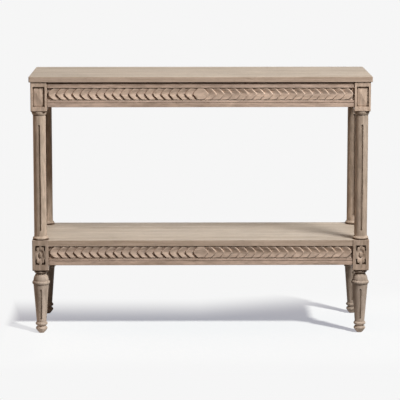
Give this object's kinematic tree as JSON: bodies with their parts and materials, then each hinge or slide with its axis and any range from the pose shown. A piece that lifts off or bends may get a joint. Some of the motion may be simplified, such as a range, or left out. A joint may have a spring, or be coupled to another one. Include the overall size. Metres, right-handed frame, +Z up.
{
  "type": "pier table",
  "caption": "Long narrow two-tier pier table: slab top, carved scale-band aprons, square corner blocks, fluted round columns, lower shelf and turned tapered feet.",
  "frame": {"origin": "on the floor under the middle of the table", "axes": "+Z up, +X along the length to the right seen from the front, +Y to the back, so the carved front faces -Y"},
  "size_m": [1.22, 0.4, 0.93],
  "materials": {
    "oak_panels": "limed oak, matt, fine straight grain along the length",
    "oak_rails": "limed oak, matt, grain along the rail, darker in the crevices",
    "oak_carving": "limed oak, carved, dark wax left in the hollows",
    "oak_legs": "limed oak, turned and planed, upright grain",
    "raw_hardwood": "unfinished sawn hardwood",
    "zinc_steel": "zinc plated",
    "brass_inserts": "turned brass"
  },
  "bodies": {
    "root": {"back_left_column": "oak_legs", "back_left_foot": "oak_legs", "back_left_lower_block": "oak_legs", "back_left_lower_brace": "raw_hardwood", "back_left_side_rosette": "oak_carving", "back_left_upper_block": "oak_legs", "back_left_upper_brace": "raw_hardwood", "back_right_column": "oak_legs", "back_right_foot": "oak_legs", "back_right_lower_block": "oak_legs", "back_right_lower_brace": "raw_hardwood", "back_right_side_rosette": "oak_carving", "back_right_upper_block": "oak_legs", "back_right_upper_brace": "raw_hardwood", "column_inserts": "brass_inserts", "front_left_column": "oak_legs", "front_left_foot": "oak_legs", "front_left_front_rosette": "oak_carving", "front_left_lower_block": "oak_legs", "front_left_lower_brace": "raw_hardwood", "front_left_side_rosette": "oak_carving", "front_left_upper_block": "oak_legs", "front_left_upper_brace": "raw_hardwood", "front_right_column": "oak_legs", "front_right_foot": "oak_legs", "front_right_front_rosette": "oak_carving", "front_right_lower_block": "oak_legs", "front_right_lower_brace": "raw_hardwood", "front_right_side_rosette": "oak_carving", "front_right_upper_block": "oak_legs", "front_right_upper_brace": "raw_hardwood", "leg_studs": "zinc_steel", "lower_back_rail": "oak_rails", "lower_brace_screws": "zinc_steel", "lower_front_frieze": "oak_carving", "lower_front_rail": "oak_rails", "lower_left_frieze": "oak_carving", "lower_left_rail": "oak_rails", "lower_right_frieze": "oak_carving", "lower_right_rail": "oak_rails", "shelf_panel": "oak_panels", "shelf_screws": "zinc_steel", "top_button_screws": "zinc_steel", "top_buttons": "raw_hardwood", "top_panel": "oak_panels", "upper_back_rail": "oak_rails", "upper_brace_screws": "zinc_steel", "upper_front_frieze": "oak_carving", "upper_front_rail": "oak_rails", "upper_left_frieze": "oak_carving", "upper_left_rail": "oak_rails", "upper_right_frieze": "oak_carving", "upper_right_rail": "oak_rails"}
  },
  "joints": []
}
